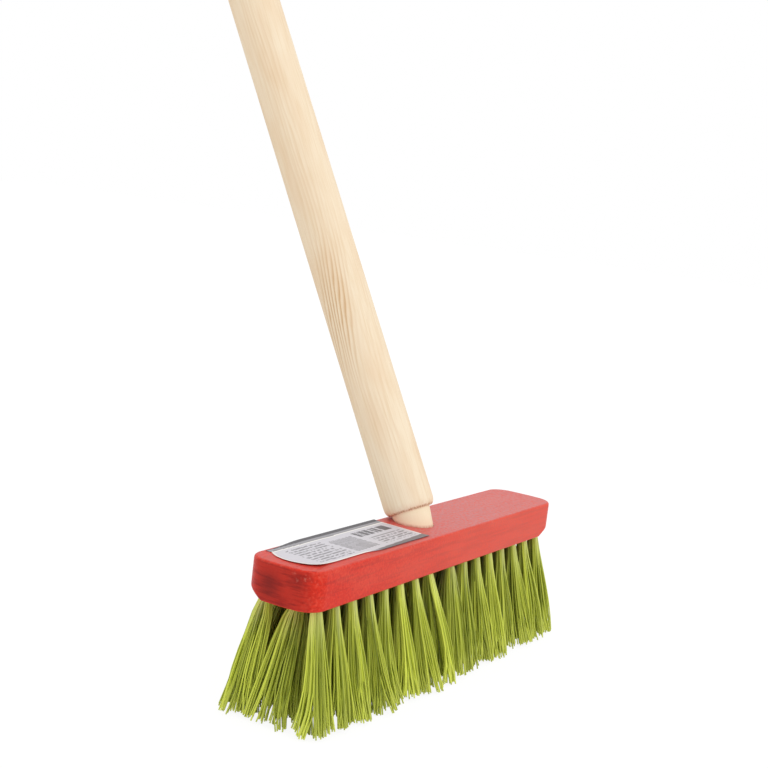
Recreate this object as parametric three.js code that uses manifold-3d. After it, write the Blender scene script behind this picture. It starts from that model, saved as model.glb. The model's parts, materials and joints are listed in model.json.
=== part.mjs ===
// Hand broom: a lacquered wooden block with stapled bristle tufts, and a raw wooden stick that is
// pushed into a slanted tapered socket in the block's top.
// Millimetres, +Z up. The origin lies on the floor under the middle of the block.
// X runs along the block, -Y is its front, and the stick leans back towards +Y.

import * as THREE from 'three';
import { ConvexGeometry } from 'three/addons/geometries/ConvexGeometry.js';
import { mergeVertices } from 'three/addons/utils/BufferGeometryUtils.js';
import Module from 'manifold-3d';

const wasm = await Module();
wasm.setup();

// Block sizes
const BLOCK_LENGTH = 225.5;
const BLOCK_WIDTH = 35;
const BLOCK_THICKNESS = 17.2;
const CORNER_RADIUS = 9.5;
const END_BOW = 1.5;
const EDGE_ROUND = 1.8;
const CORNER_CUT_LENGTH = 10.5;
const CORNER_CUT_WIDTH = 8;
const CORNER_CUT_HEIGHT = 10;

// Stick and socket sizes, lean in degrees from upright, taper in degrees to each side
const HANDLE_DIAMETER = 24;
const HANDLE_LENGTH = 800;
const HANDLE_LEAN = 28;
const HANDLE_END_ROUND = 8;
const SHOULDER_ROUND = 2;
const SHOULDER_ROUND_LENGTH = 4;
const SHOULDER_STEP = 0.8;
const SHOULDER_CLEARANCE = 0.6;
const TENON_TAPER = 6;
const TENON_CHAMFER = 0.8;
const SOCKET_SETBACK = 3;
const SOCKET_FLOOR = 2.9;

// Label sizes: it fills the bare top between the block's end and the stick
const LABEL_THICKNESS = 0.2;
const LABEL_END_MARGIN = 12.75;
const LABEL_STICK_MARGIN = 1.8;
const LABEL_FRONT_MARGIN = 4;
const LABEL_BACK_MARGIN = 2.2;
const LABEL_CORNER = 0.8;

// Tuft field sizes
const BRISTLE_HEIGHT = 51.3;
const ROW_EDGE_MARGIN = 5.2;
const TUFT_PITCH = 13;
const OUTER_ROW_FIRST = 10.3;
const MIDDLE_ROW_FIRST = 16.8;
const TUFT_END_MARGIN = 11;
const HOLE_DIAMETER = 5;
const HOLE_ROOF = 4.6;
const SLICE_WIDTH = 5.4;
const SLICE_THICKNESS = 2;

// Bristle sizes: a tuft's tips lean outwards by its splays, most at the corners of the field, each tuft
// is turned by some degrees from the last, and the strides step through the uneven heights of the tips
const STRANDS_PER_TUFT = 7;
const STRAND_RADIUS = 0.8;
const STRAND_EMBED = 0.5;
const ROOT_RING = 1.7;
const TIP_RING = 4.6;
const END_SPLAY = 6;
const MIDDLE_CLOSE = 2.5;
const ROW_SPLAY = 9;
const CORNER_SPLAY = 2.5;
const CORNER_GROWTH = 3;
const TUFT_TURN = 37;
const TIP_RAGGED = 2;
const TIP_TRIM = 0.5;
const STRAND_STRIDE = 5;
const TUFT_STRIDE = 3;

// Staple sizes
const WIRE = 0.8;
const STAPLE_WIDTH = 3.7;
const STAPLE_BITE = 3;
const FOLD_CROWN = 1.7;
const FOLD_DEPTH = 3.2;

// Clearances, and the length by which a cutter runs past the face that it cuts
const FIT_GAP = 0.3;
const OVERRUN = 1;

// Numbers of facets
const ROUND_FACETS = 32;
const HOLE_FACETS = 8;
const STRAND_FACETS = 3;
const ARC_STEPS = 4;
const ROUND_STEPS = 3;
const CORNER_STEPS = 1;
const WELD = 1e-4;

// Heights and places that follow from the sizes
const underside = BRISTLE_HEIGHT;
const blockTop = underside + BLOCK_THICKNESS;
const halfLength = BLOCK_LENGTH / 2;
const rowOffset = BLOCK_WIDTH / 2 - ROW_EDGE_MARGIN;
const lean = THREE.MathUtils.degToRad(HANDLE_LEAN);
const taper = Math.tan(THREE.MathUtils.degToRad(TENON_TAPER));
const handleRadius = HANDLE_DIAMETER / 2;
const shoulderRadius = handleRadius - SHOULDER_ROUND;
const shoulderAt = (SHOULDER_CLEARANCE + shoulderRadius * Math.sin(lean)) / Math.cos(lean);
const tenonTopRadius = shoulderRadius - SHOULDER_STEP;
const tenonMouthRadius = tenonTopRadius - shoulderAt * taper;
const socketMouthRadius = tenonMouthRadius + FIT_GAP;
const socketDepth = (BLOCK_THICKNESS - SOCKET_FLOOR - socketMouthRadius * Math.sin(lean))
  / (Math.cos(lean) - taper * Math.sin(lean));
const tenonFoot = FIT_GAP - socketDepth;
const handleTop = tenonFoot + HANDLE_LENGTH;
const holeRadius = HOLE_DIAMETER / 2;
const holeDepth = BLOCK_THICKNESS - HOLE_ROOF - STAPLE_BITE;
const holeTop = underside + holeDepth;
const plugRadius = holeRadius - FIT_GAP;
const foldTop = holeTop - FIT_GAP;
const crownTop = foldTop - FOLD_CROWN - FIT_GAP;
const crownFoot = crownTop - WIRE;
const plugTop = crownFoot - FIT_GAP;
const legCentre = (STAPLE_WIDTH - WIRE) / 2;

// Finishes
const finish = (color, roughness, metalness = 0) =>
  new THREE.MeshStandardMaterial({ color, roughness, metalness });
const rawWood = finish(0xefdcbd, 0.75);
const redLacquer = finish(0xd24a40, 0.45);
const paper = finish(0xe2e0e4, 0.5);
const limeBristle = finish(0x99a338, 0.5);
const steelWire = finish(0x9a9c9e, 0.35, 1);

// A closed three.js geometry as a solid that can be cut and joined
function solidFrom(geometry) {
  const bare = geometry.clone();
  bare.deleteAttribute('normal');
  bare.deleteAttribute('uv');
  const welded = mergeVertices(bare, WELD);
  return new wasm.Manifold(new wasm.Mesh({
    numProp: 3,
    vertProperties: new Float32Array(welded.attributes.position.array),
    triVerts: new Uint32Array(welded.index.array),
  }));
}

// A solid back as a three.js geometry
function geometryFrom(solid) {
  const mesh = solid.getMesh();
  const geometry = new THREE.BufferGeometry();
  geometry.setAttribute('position', new THREE.BufferAttribute(mesh.vertProperties, 3));
  geometry.setIndex(new THREE.BufferAttribute(mesh.triVerts, 1));
  geometry.computeVertexNormals();
  return geometry;
}

// An axis-aligned box between two corners
function boxBetween(low, high) {
  const box = new THREE.BoxGeometry(high[0] - low[0], high[1] - low[1], high[2] - low[2]);
  return box.translate((low[0] + high[0]) / 2, (low[1] + high[1]) / 2, (low[2] + high[2]) / 2);
}

// An upright faceted cylinder at (x, y) between two heights
function uprightCylinder(radius, x, y, low, high) {
  const cylinder = new THREE.CylinderGeometry(radius, radius, high - low, HOLE_FACETS);
  return cylinder.rotateX(Math.PI / 2).translate(x, y, (low + high) / 2);
}

// An outline drawn in X and Z, made solid along Y and centred on y
function prismAcross(outline, width, y) {
  const prism = new THREE.ExtrudeGeometry(outline, { depth: width, bevelEnabled: false });
  return prism.rotateX(Math.PI / 2).translate(0, y + width / 2, 0);
}

const joined = (solids) => solids.reduce((sum, solid) => sum.add(solid));

// Plan of the block: straight sides, bowed ends and rounded corners
function blockPlan() {
  const halfWidth = BLOCK_WIDTH / 2;
  const endRadius = (halfWidth ** 2 + END_BOW ** 2) / (2 * END_BOW);
  const endCentre = halfLength - endRadius;
  const cornerY = halfWidth - CORNER_RADIUS;
  const cornerReach = Math.sqrt((endRadius - CORNER_RADIUS) ** 2 - cornerY ** 2);
  const cornerX = endCentre + cornerReach;
  const turn = Math.atan2(cornerY, cornerReach);
  const plan = new THREE.Shape();
  plan.absarc(cornerX, -cornerY, CORNER_RADIUS, -Math.PI / 2, -turn);
  plan.absarc(endCentre, 0, endRadius, -turn, turn);
  plan.absarc(cornerX, cornerY, CORNER_RADIUS, turn, Math.PI / 2);
  plan.absarc(-cornerX, cornerY, CORNER_RADIUS, Math.PI / 2, Math.PI - turn);
  plan.absarc(-endCentre, 0, endRadius, Math.PI - turn, Math.PI + turn);
  plan.absarc(-cornerX, -cornerY, CORNER_RADIUS, Math.PI + turn, 1.5 * Math.PI);
  return plan;
}

// Wedge that takes off one lower corner of the block: the back left one, side -1, or the front right
// one, side 1. The cut's length, width and height are measured from the corner of the block's box.
function cornerCutter(side) {
  const grown = 1 + OVERRUN / CORNER_CUT_LENGTH + OVERRUN / CORNER_CUT_WIDTH + OVERRUN / CORNER_CUT_HEIGHT;
  const x = side * (halfLength + OVERRUN);
  const y = -side * (BLOCK_WIDTH / 2 + OVERRUN);
  const z = underside - OVERRUN;
  return new ConvexGeometry([
    new THREE.Vector3(x, y, z),
    new THREE.Vector3(x - side * CORNER_CUT_LENGTH * grown, y, z),
    new THREE.Vector3(x, y + side * CORNER_CUT_WIDTH * grown, z),
    new THREE.Vector3(x, y, z + CORNER_CUT_HEIGHT * grown),
  ]);
}

// A cone on the stick's axis, between two places measured along it from the block's top face
function coneOnAxis(mouthRadius, low, high) {
  const cone = new THREE.CylinderGeometry(
    mouthRadius + high * taper, mouthRadius + low * taper, high - low, ROUND_FACETS);
  cone.translate(0, (low + high) / 2, 0).rotateX(Math.PI / 2 - lean);
  return cone.translate(0, SOCKET_SETBACK, blockTop);
}

// Places of the tufts on one half of a row, outwards from the middle
function halfRow(first) {
  const places = [];
  for (let x = first; x <= halfLength - TUFT_END_MARGIN; x += TUFT_PITCH) places.push(x);
  return places;
}

const mirrored = (places) => [...places.map((x) => -x).reverse(), ...places];
const outerHalf = halfRow(OUTER_ROW_FIRST);
const middleHalf = halfRow(MIDDLE_ROW_FIRST);
const fieldFirst = Math.min(...outerHalf, ...middleHalf);
const fieldReach = Math.max(...outerHalf, ...middleHalf);

// The tuft field: each row has a line of tufts, and one run of them or two
const rows = [
  { name: 'front', y: -rowOffset, runs: { front_row: mirrored(outerHalf) } },
  {
    name: 'middle',
    y: 0,
    runs: { middle_left: middleHalf.map((x) => -x).reverse(), middle_right: middleHalf },
  },
  { name: 'back', y: rowOffset, runs: { back_row: mirrored(outerHalf) } },
];

// The slice of backing that joins a run of tufts, or the groove for it when gap is the clearance
function sliceBox(places, y, gap) {
  const reach = SLICE_WIDTH / 2 + gap;
  const low = [Math.min(...places) - reach, y - reach, gap > 0 ? underside - OVERRUN : underside];
  const high = [Math.max(...places) + reach, y + reach, underside + SLICE_THICKNESS + gap];
  return solidFrom(boxBetween(low, high));
}

// The drilled hole of one tuft with the two small pits that the staple's legs bite above it
function tuftHole(x, y) {
  const pitHalf = WIRE / 2 + FIT_GAP;
  const pits = [-legCentre, legCentre].map((offset) => solidFrom(boxBetween(
    [x + offset - pitHalf, y - pitHalf, holeTop - FIT_GAP],
    [x + offset + pitHalf, y + pitHalf, holeTop + STAPLE_BITE],
  )));
  return joined([solidFrom(uprightCylinder(holeRadius, x, y, underside, holeTop)), ...pits]);
}

// Block: bowed plan, rounded edges, two cut corners, slanted socket, tuft holes and slice grooves
function block() {
  const board = new THREE.ExtrudeGeometry(blockPlan(), {
    depth: BLOCK_THICKNESS - 2 * EDGE_ROUND,
    curveSegments: ARC_STEPS,
    bevelThickness: EDGE_ROUND,
    bevelSize: EDGE_ROUND,
    bevelOffset: -EDGE_ROUND,
    bevelSegments: ROUND_STEPS,
  });
  const socketHigh = socketMouthRadius * Math.tan(lean) + OVERRUN;
  const cutters = [
    solidFrom(cornerCutter(-1)),
    solidFrom(cornerCutter(1)),
    solidFrom(coneOnAxis(socketMouthRadius, -socketDepth, socketHigh)),
  ];
  for (const { y, runs } of rows) {
    for (const places of Object.values(runs)) {
      cutters.push(sliceBox(places, y, FIT_GAP));
      for (const x of places) cutters.push(tuftHole(x, y));
    }
  }
  const whole = solidFrom(board.translate(0, 0, underside + EDGE_ROUND));
  return geometryFrom(whole.subtract(joined(cutters)));
}

// Stick: tapered tenon, stepped and rounded shoulder, long round shaft and rounded top end
function handle() {
  const profile = [
    new THREE.Vector2(0, tenonFoot),
    new THREE.Vector2(tenonMouthRadius + tenonFoot * taper - TENON_CHAMFER, tenonFoot),
    new THREE.Vector2(tenonMouthRadius + (tenonFoot + TENON_CHAMFER) * taper, tenonFoot + TENON_CHAMFER),
    new THREE.Vector2(tenonTopRadius, shoulderAt),
    new THREE.Vector2(shoulderRadius, shoulderAt),
  ];
  for (let step = 1; step <= ROUND_STEPS; step += 1) {
    const turn = (step / ROUND_STEPS) * (Math.PI / 2);
    profile.push(new THREE.Vector2(
      shoulderRadius + SHOULDER_ROUND * Math.sin(turn),
      shoulderAt + SHOULDER_ROUND_LENGTH * (1 - Math.cos(turn)),
    ));
  }
  for (let step = 0; step <= ROUND_STEPS; step += 1) {
    const turn = (step / ROUND_STEPS) * (Math.PI / 2);
    profile.push(new THREE.Vector2(
      handleRadius - HANDLE_END_ROUND * (1 - Math.cos(turn)),
      handleTop - HANDLE_END_ROUND * (1 - Math.sin(turn)),
    ));
  }
  profile.push(new THREE.Vector2(0, handleTop));
  return new THREE.LatheGeometry(profile, ROUND_FACETS).rotateX(Math.PI / 2);
}

// Label: a thin sheet with small round corners, lying on the block's top
function label() {
  const left = -halfLength + LABEL_END_MARGIN;
  const right = -socketMouthRadius - LABEL_STICK_MARGIN;
  const front = -BLOCK_WIDTH / 2 + LABEL_FRONT_MARGIN;
  const back = BLOCK_WIDTH / 2 - LABEL_BACK_MARGIN;
  const inset = LABEL_CORNER;
  const outline = new THREE.Shape();
  outline.absarc(right - inset, front + inset, inset, -Math.PI / 2, 0);
  outline.absarc(right - inset, back - inset, inset, 0, Math.PI / 2);
  outline.absarc(left + inset, back - inset, inset, Math.PI / 2, Math.PI);
  outline.absarc(left + inset, front + inset, inset, Math.PI, 1.5 * Math.PI);
  const sheet = new THREE.ExtrudeGeometry(outline, {
    depth: LABEL_THICKNESS,
    curveSegments: CORNER_STEPS,
    bevelEnabled: false,
  });
  return sheet.translate(0, 0, blockTop);
}

// One straight strand from a root in the slice of backing to a tip above the floor, its ends cut level
function strand(root, tip, low) {
  const high = underside + STRAND_EMBED;
  const reach = high - low;
  const prism = new THREE.CylinderGeometry(STRAND_RADIUS, STRAND_RADIUS, reach, STRAND_FACETS);
  prism.rotateX(Math.PI / 2);
  prism.applyMatrix4(new THREE.Matrix4().makeShear(
    0, 0, 0, 0, (root.x - tip.x) / reach, (root.y - tip.y) / reach));
  return prism.translate((root.x + tip.x) / 2, (root.y + tip.y) / 2, (high + low) / 2);
}

// One tuft: the plug in its hole, its fold over the staple's crown, and the strands fanned below.
// Tufts are numbered outwards from the middle, so the halves of the field mirror each other.
function tuft(x, y) {
  const foldHalf = legCentre - WIRE / 2 - FIT_GAP;
  const slotHalf = WIRE / 2 + FIT_GAP;
  const plugFoot = underside + SLICE_THICKNESS / 2;
  const plug = solidFrom(uprightCylinder(plugRadius, x, y, plugFoot, plugTop));
  const fold = solidFrom(boxBetween(
    [x - foldHalf, y - FOLD_DEPTH / 2, plugTop - OVERRUN],
    [x + foldHalf, y + FOLD_DEPTH / 2, foldTop],
  ));
  const slot = solidFrom(boxBetween(
    [x - foldHalf - OVERRUN, y - slotHalf, plugTop],
    [x + foldHalf + OVERRUN, y + slotHalf, crownTop + FIT_GAP],
  ));
  const side = { x: Math.sign(x), y: Math.sign(y) || 1 };
  const share = (Math.abs(x) - fieldFirst) / (fieldReach - fieldFirst);
  const number = Math.round((Math.abs(x) - fieldFirst) / TUFT_PITCH);
  const lift = {
    x: side.x * THREE.MathUtils.lerp(-MIDDLE_CLOSE, END_SPLAY, share),
    y: Math.sign(y) * (ROW_SPLAY + CORNER_SPLAY * share ** CORNER_GROWTH),
  };
  const strands = [];
  for (let index = 0; index < STRANDS_PER_TUFT; index += 1) {
    const ring = index === 0 ? 0 : 1;
    const turn = THREE.MathUtils.degToRad((index / (STRANDS_PER_TUFT - 1)) * 360 + number * TUFT_TURN);
    const out = { x: side.x * ring * Math.cos(turn), y: side.y * ring * Math.sin(turn) };
    const root = { x: x + ROOT_RING * out.x, y: y + ROOT_RING * out.y };
    const tip = { x: x + lift.x + TIP_RING * out.x, y: y + lift.y + TIP_RING * out.y };
    const step = index * STRAND_STRIDE + number * TUFT_STRIDE;
    const uneven = (step % STRANDS_PER_TUFT) / STRANDS_PER_TUFT;
    strands.push(solidFrom(strand(root, tip, Math.max(0, ring * TIP_RAGGED * uneven - TIP_TRIM))));
  }
  return [joined([plug, fold]).subtract(slot), ...strands];
}

// A run of tufts joined by its slice of backing
function bristleRun(places, y) {
  const tufts = places.flatMap((x) => tuft(x, y));
  return geometryFrom(joined([sliceBox(places, y, 0), ...tufts]));
}

// Wire staple: a crown through the tuft's fold and two legs up into the wood
function staple(x, y) {
  const half = STAPLE_WIDTH / 2;
  const legTop = holeTop + STAPLE_BITE - FIT_GAP;
  const outline = new THREE.Shape([
    new THREE.Vector2(x - half, crownFoot),
    new THREE.Vector2(x + half, crownFoot),
    new THREE.Vector2(x + half, legTop),
    new THREE.Vector2(x + half - WIRE, legTop),
    new THREE.Vector2(x + half - WIRE, crownTop),
    new THREE.Vector2(x - half + WIRE, crownTop),
    new THREE.Vector2(x - half + WIRE, legTop),
    new THREE.Vector2(x - half, legTop),
  ]);
  return prismAcross(outline, WIRE, y);
}

// Assembly
const broom = new THREE.Group();

function addPiece(parent, name, geometry, material) {
  const piece = new THREE.Mesh(geometry, material);
  piece.name = name;
  parent.add(piece);
}

const stickMount = new THREE.Group();
stickMount.position.set(0, SOCKET_SETBACK, blockTop);
stickMount.rotation.x = -lean;
broom.add(stickMount);

addPiece(stickMount, 'handle', handle(), rawWood);
addPiece(broom, 'block', block(), redLacquer);
addPiece(broom, 'paper_label', label(), paper);
for (const { name, y, runs } of rows) {
  for (const [run, places] of Object.entries(runs)) {
    addPiece(broom, `bristles_${run}`, bristleRun(places, y), limeBristle);
  }
  Object.values(runs).flat().forEach((x, index) => {
    const number = String(index + 1).padStart(2, '0');
    addPiece(broom, `staple_${name}_${number}`, staple(x, y), steelWire);
  });
}

export default broom;
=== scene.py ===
# %% [markdown]
# # A small wooden broom
#
# This lesson dresses a broom: a red lacquered block, a raw wooden stick, three rows of lime green
# bristle tufts and a paper label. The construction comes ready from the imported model. Its bodies,
# joints and nodes are a fixed frame in metres, and every piece below is built in that same frame, so
# a tuft goes exactly where its staple is and nothing has to be fitted by eye.

# %% Load the fixed frame
import json
import math

import bmesh
import bpy
import numpy as np
from mathutils import Matrix, Vector


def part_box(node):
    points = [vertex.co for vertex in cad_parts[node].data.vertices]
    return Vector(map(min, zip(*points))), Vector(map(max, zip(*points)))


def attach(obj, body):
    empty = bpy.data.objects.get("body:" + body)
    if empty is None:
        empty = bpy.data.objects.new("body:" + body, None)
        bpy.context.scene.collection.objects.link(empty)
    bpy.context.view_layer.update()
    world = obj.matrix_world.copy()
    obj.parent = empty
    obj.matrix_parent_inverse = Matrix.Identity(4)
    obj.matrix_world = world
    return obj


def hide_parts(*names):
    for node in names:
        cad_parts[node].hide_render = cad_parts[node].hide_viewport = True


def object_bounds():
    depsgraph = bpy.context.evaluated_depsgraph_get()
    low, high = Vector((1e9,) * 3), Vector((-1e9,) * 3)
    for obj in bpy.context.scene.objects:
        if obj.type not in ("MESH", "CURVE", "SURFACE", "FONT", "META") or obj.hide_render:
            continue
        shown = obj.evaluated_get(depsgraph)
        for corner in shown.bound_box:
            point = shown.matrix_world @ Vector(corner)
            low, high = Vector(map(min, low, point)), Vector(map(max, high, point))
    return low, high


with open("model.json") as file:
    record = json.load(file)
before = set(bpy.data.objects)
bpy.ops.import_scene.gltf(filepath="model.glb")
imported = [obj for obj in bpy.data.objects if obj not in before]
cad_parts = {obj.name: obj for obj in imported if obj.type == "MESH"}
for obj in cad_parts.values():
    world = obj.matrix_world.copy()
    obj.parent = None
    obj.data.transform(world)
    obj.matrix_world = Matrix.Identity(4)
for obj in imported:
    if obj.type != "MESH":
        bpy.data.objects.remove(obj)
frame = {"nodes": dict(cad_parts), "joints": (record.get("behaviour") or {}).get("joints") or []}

cad_low, cad_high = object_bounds()
print("CAD box in mm:", [round(1000 * side) for side in cad_high - cad_low])

# %% [markdown]
# ## Units, colours and shader nodes
#
# Sizes are written in millimetres and multiplied by MM. Colours are written as sRGB hex values, as a
# paint chart gives them, and one function turns them to the linear values that shaders work in. A
# material could be clicked together by hand, but in a script it is a list of nodes, so one small
# function adds any node with its settings and links. Some sockets share their names with others and only
# have numbers, so these get names here. Two more functions put a mesh and an object in the scene.

# %% Units, colours and one way to add a shader node
MM = 0.001
WHITE = [1.0, 1.0, 1.0, 1.0]
FROM = (1, 2)  # Map Range: the two ends of what it reads
TO = (3, 4)  # Map Range: the two ends of what it gives
UNDER = 6  # Mix: the lower colour
OVER = 7  # Mix: the colour that goes over it
MIXED = 2  # Mix: the output with the mixed colour

scene = bpy.context.scene


def linear(code):
    """An sRGB hex colour, such as "d3381e", as linear red, green, blue and alpha."""
    shares = [int(code[at:at + 2], 16) / 255 for at in (0, 2, 4)]
    return [c / 12.92 if c <= 0.04045 else ((c + 0.055) / 1.055) ** 2.4 for c in shares] + [1.0]


def add(tree, kind, links=None, **settings):
    """Adds one node and gives its outputs. Links holds each socket's, or pair's, plain value or source."""
    made = tree.nodes.new("ShaderNode" + kind)
    for name, value in settings.items():
        setattr(made, name, value)
    for name, value in (links or {}).items():
        pairs = zip(name, value) if isinstance(name, tuple) else [(name, value)]
        for socket, given in pairs:
            if isinstance(given, bpy.types.NodeSocket):
                tree.links.new(given, made.inputs[socket])
            else:
                made.inputs[socket].default_value = given
    return made.outputs


def empty_tree(owner):
    """The node tree of a material or a world, with nothing in it yet."""
    owner.use_nodes = True
    owner.node_tree.nodes.clear()
    return owner.node_tree


def mesh_from(shape, name):
    """The mesh of a shape that was built with bmesh, which is then let go."""
    mesh = bpy.data.meshes.new(name)
    shape.to_mesh(mesh)
    shape.free()
    return mesh


def placed(name, data):
    """A new object in the scene that shows a mesh, a lamp or a camera."""
    made = bpy.data.objects.new(name, data)
    scene.collection.objects.link(made)
    return made


print("white stays", linear("ffffff"), "and mid grey becomes", round(linear("808080")[0], 3))

# %% [markdown]
# ## The camera
#
# The camera stands to the left and in front of the block, a little above it, and is rolled by some
# degrees, which makes the stick cross the picture. Its place was worked out from the straight edges of
# the block and the stick, so the lens and the angles below are real ones. The rotation is built from
# three directions, because that shows plainly what yaw, pitch and roll each do.

# %% Place the camera
CAMERA_PLACE = Vector((-590.0, -318.0, 228.6)) * MM
CAMERA_YAW = math.radians(59.59)
CAMERA_PITCH = math.radians(8.22)
CAMERA_ROLL = math.radians(6.94)
CAMERA_LENS = 69.18
SENSOR_WIDTH = 36.0

forward = Vector((math.sin(CAMERA_YAW) * math.cos(CAMERA_PITCH),
                  math.cos(CAMERA_YAW) * math.cos(CAMERA_PITCH),
                  -math.sin(CAMERA_PITCH)))
level_right = Vector((math.cos(CAMERA_YAW), -math.sin(CAMERA_YAW), 0.0))
level_up = level_right.cross(forward)
right = math.cos(CAMERA_ROLL) * level_right + math.sin(CAMERA_ROLL) * level_up
up = right.cross(forward)

camera = placed("camera", bpy.data.cameras.new("camera"))
camera.data.lens = CAMERA_LENS
camera.data.sensor_width = SENSOR_WIDTH
camera.matrix_world = Matrix.Translation(CAMERA_PLACE) @ Matrix((right, up, -forward)).transposed().to_4x4()
scene.camera = camera
print("camera stands", round(CAMERA_PLACE.length, 2), "m from the point under the block")

# %% [markdown]
# ## Light, floor and background
#
# A product picture is lit by a large soft lamp and by white walls all round. The world is the white
# walls: the camera, mirrors and glass see it as plain white, and as light it has a lower level. One
# big lamp on the camera's right adds the rest, so a surface that faces it gets about as much light as
# makes a colour look as it is written. The floor is a sheet of white card. It shows nearly white to
# the camera, keeps a faint shadow, and throws light back up into the bristles as real card does.

# %% White walls and one lamp
AMBIENT_LEVEL = 0.95
KEY_LEVEL = 0.13
KEY_PLACE = Vector((-0.2, -1.6, 1.35))
KEY_AIM = Vector((0.0, 0.0, 0.12))
KEY_SIZE = 1.1

scene.view_settings.view_transform = "Standard"


def seen_directly(tree):
    """1 for rays from the camera, a mirror or glass, and 0 for light on its way to a surface."""
    path = add(tree, "LightPath")
    direct = add(tree, "Math", {0: path["Is Camera Ray"], 1: path["Is Glossy Ray"]}, operation="MAXIMUM")
    return add(tree, "Math", {0: direct[0], 1: path["Is Transmission Ray"]}, operation="MAXIMUM")[0]


scene.world = bpy.data.worlds.new("white_studio")
walls = empty_tree(scene.world)
wall_level = add(walls, "Math", {0: seen_directly(walls), 1: 1 - AMBIENT_LEVEL, 2: AMBIENT_LEVEL},
                 operation="MULTIPLY_ADD")
wall_light = add(walls, "Background", {"Color": WHITE, "Strength": wall_level[0]})
add(walls, "OutputWorld", {"Surface": wall_light[0]})

# At this power the lamp alone shows a white surface that faces it at KEY_LEVEL
key_ray = KEY_AIM - KEY_PLACE
key_lamp = placed("key_lamp", bpy.data.lights.new("key_lamp", "AREA"))
key_lamp.data.size = KEY_SIZE
key_lamp.data.energy = KEY_LEVEL * math.pi ** 2 * key_ray.length_squared
key_lamp.location = KEY_PLACE
key_lamp.rotation_euler = key_ray.to_track_quat("-Z", "Y").to_euler()
print("key lamp:", round(key_lamp.data.energy, 1), "W at", round(key_ray.length, 2), "m")

# %% A floor of white card
FLOOR_SIZE = 8.0
FLOOR_GLOW = 0.9
FLOOR_SHADE = 0.14
CARD_WHITE = "e8e8e8"

card = bpy.data.materials.new("white_card")
card_tree = empty_tree(card)
card_bounce = add(card_tree, "BsdfDiffuse", {"Color": linear(CARD_WHITE)})
card_glow = add(card_tree, "Emission", {"Color": WHITE, "Strength": FLOOR_GLOW})
card_shade = add(card_tree, "BsdfDiffuse", {"Color": [FLOOR_SHADE, FLOOR_SHADE, FLOOR_SHADE, 1.0]})
card_seen = add(card_tree, "AddShader", {0: card_glow[0], 1: card_shade[0]})
card_mix = add(card_tree, "MixShader", {0: seen_directly(card_tree), 1: card_bounce[0], 2: card_seen[0]})
add(card_tree, "OutputMaterial", {"Surface": card_mix[0]})

floor_mesh = bpy.data.meshes.new("floor")
half_floor = FLOOR_SIZE / 2
floor_mesh.from_pydata([(-half_floor, -half_floor, cad_low.z), (half_floor, -half_floor, cad_low.z),
                        (half_floor, half_floor, cad_low.z), (-half_floor, half_floor, cad_low.z)],
                       [], [(0, 1, 2, 3)])
floor_mesh.materials.append(card)
floor = placed("floor", floor_mesh)
print("floor:", FLOOR_SIZE, "m wide")

# %% [markdown]
# ## The stick's shape
#
# A broom stick is turned from a square length of softwood. Its lower end is cut down to a tapered
# tenon that wedges in the block, and the cut leaves a rounded shoulder with a small step. A spun
# profile is the natural way to make it: a few points in radius and length, turned round the axis. The
# axis, the ends and the thickness are read from the solid stick, whose joint slides along that axis.

# %% Measure the solid stick
SAME_POINT = 6  # decimals of a metre to which two corners of the solid count as one

stick_axis = Vector(frame["joints"][0]["axis"]).normalized()
block_low, block_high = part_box("block")
stick_points = np.array([vertex.co for vertex in frame["nodes"]["handle"].data.vertices])
stick_middle = Vector(np.unique(stick_points.round(SAME_POINT), axis=0).mean(axis=0))
mouth = stick_middle + stick_axis * ((block_high.z - stick_middle.z) / stick_axis.z)
along_stick = (stick_points - np.array(mouth)) @ np.array(stick_axis)
stick_foot = float(along_stick.min())
stick_end = float(along_stick.max())
off_axis = stick_points - np.array(mouth) - np.outer(along_stick, np.array(stick_axis))
stick_radius = float(np.linalg.norm(off_axis, axis=1).max())
stick_lean = math.atan2(stick_axis.y, stick_axis.z)
print("stick: lean", round(math.degrees(stick_lean), 1), "degrees, radius", round(stick_radius / MM, 2),
      "mm, from", round(stick_foot / MM, 1), "to", round(stick_end / MM, 1), "mm along its axis")

# %% Spin a profile into a mesh
def arc(centre, radii, first, last, steps):
    """Points on a quarter of an ellipse or less, angles in degrees, as (radius, place along the axis)."""
    turns = [math.radians(first + (last - first) * step / steps) for step in range(steps + 1)]
    return [(centre[0] + radii[0] * math.cos(turn), centre[1] + radii[1] * math.sin(turn))
            for turn in turns]


def spun(name, profile, sides):
    """A closed mesh spun round Z from a profile that starts and ends on the axis."""
    shell = bmesh.new()
    rings = []
    for radius, height in profile:
        if radius == 0:
            rings.append([shell.verts.new((0, 0, height))])
            continue
        turns = [2 * math.pi * side / sides for side in range(sides)]
        rings.append([shell.verts.new((radius * math.cos(turn), radius * math.sin(turn), height))
                      for turn in turns])
    for low, high in zip(rings, rings[1:]):
        for side in range(sides):
            after = (side + 1) % sides
            corners = [low[side % len(low)], low[after % len(low)],
                       high[after % len(high)], high[side % len(high)]]
            shell.faces.new(list(dict.fromkeys(corners)))
    bmesh.ops.recalc_face_normals(shell, faces=shell.faces)
    return placed(name, mesh_from(shell, name))


def smooth_below(mesh, degrees):
    """Smooth shading, with creases kept where faces meet at more than this angle."""
    mesh.polygons.foreach_set("use_smooth", [True] * len(mesh.polygons))
    mesh.set_sharp_from_angle(angle=math.radians(degrees))


print("a quarter turn in two steps:", arc((0, 0), (1, 1), 0, 90, 2))

# %% Make the stick
STICK_SIDES = 96
TENON_TAPER = math.tan(math.radians(6))
TENON_MOUTH = 8.57 * MM
TENON_CHAMFER = 0.8 * MM
SHOULDER_AT = 6.0 * MM
SHOULDER_STEP = 0.8 * MM
SHOULDER_ROUND = (2.0 * MM, 4.0 * MM)
END_ROUND = 8.0 * MM
ROUND_STEPS = 8
CREASE = 40

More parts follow.
